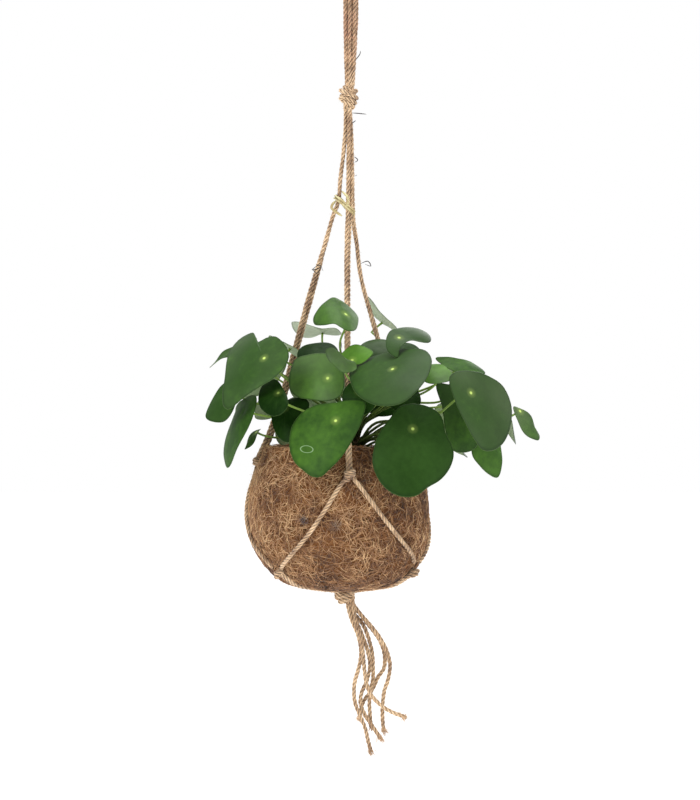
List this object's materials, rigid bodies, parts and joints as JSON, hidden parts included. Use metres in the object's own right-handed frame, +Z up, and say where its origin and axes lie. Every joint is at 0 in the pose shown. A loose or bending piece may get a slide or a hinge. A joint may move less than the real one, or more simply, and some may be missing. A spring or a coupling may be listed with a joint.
{
  "type": "hanging potted chinese money plant",
  "caption": "Chinese money plant with round leaves in a coconut-fibre pot, hung in a knotted jute cord hanger with a tassel below.",
  "frame": {"origin": "where the hook touches the inside of the hanging loop, at the top", "axes": "+Z up, +X to the right and -Y towards the viewer of the front"},
  "size_m": [0.3331, 0.2634, 0.7907],
  "materials": {
    "leaf": "satin",
    "stem": "matte",
    "soil": "matte",
    "coir": "matte",
    "plastic": "satin",
    "jute": "matte",
    "raffia": "matte"
  },
  "bodies": {
    "root": {"leaf_01": "leaf", "leaf_02": "leaf", "leaf_03": "leaf", "leaf_04": "leaf", "leaf_05": "leaf", "leaf_06": "leaf", "leaf_07": "leaf", "leaf_08": "leaf", "leaf_09": "leaf", "leaf_10": "leaf", "leaf_11": "leaf", "leaf_12": "leaf", "leaf_13": "leaf", "leaf_14": "leaf", "leaf_15": "leaf", "leaf_16": "leaf", "leaf_17": "leaf", "leaf_18": "leaf", "leaf_19": "leaf", "leaf_20": "leaf", "leaf_21": "leaf", "leaf_22": "leaf", "leaf_23": "leaf", "leaf_24": "leaf", "leaf_25": "leaf", "leaf_26": "leaf", "leaf_27": "leaf", "leaf_28": "leaf", "leaf_29": "leaf", "leaf_30": "leaf", "leaf_31": "leaf", "leaf_32": "leaf", "leaf_33": "leaf", "leaf_34": "leaf", "leaf_35": "leaf", "leaf_36": "leaf", "leaf_37": "leaf", "leaf_38": "leaf", "leaf_39": "leaf", "leaf_40": "leaf", "leaf_41": "leaf", "leaf_42": "leaf", "leaf_43": "leaf", "main_stem": "stem", "soil": "soil", "coir_pot": "coir", "grow_pot": "plastic", "hanging_loop": "jute", "left_leg": "jute", "front_leg": "jute", "right_leg": "jute", "lower_net": "jute", "tail_1": "jute", "tail_2": "jute", "tail_3": "jute", "tail_4": "jute", "tail_5": "jute", "tail_6": "jute", "raffia_tie": "raffia"}
  },
  "joints": []
}
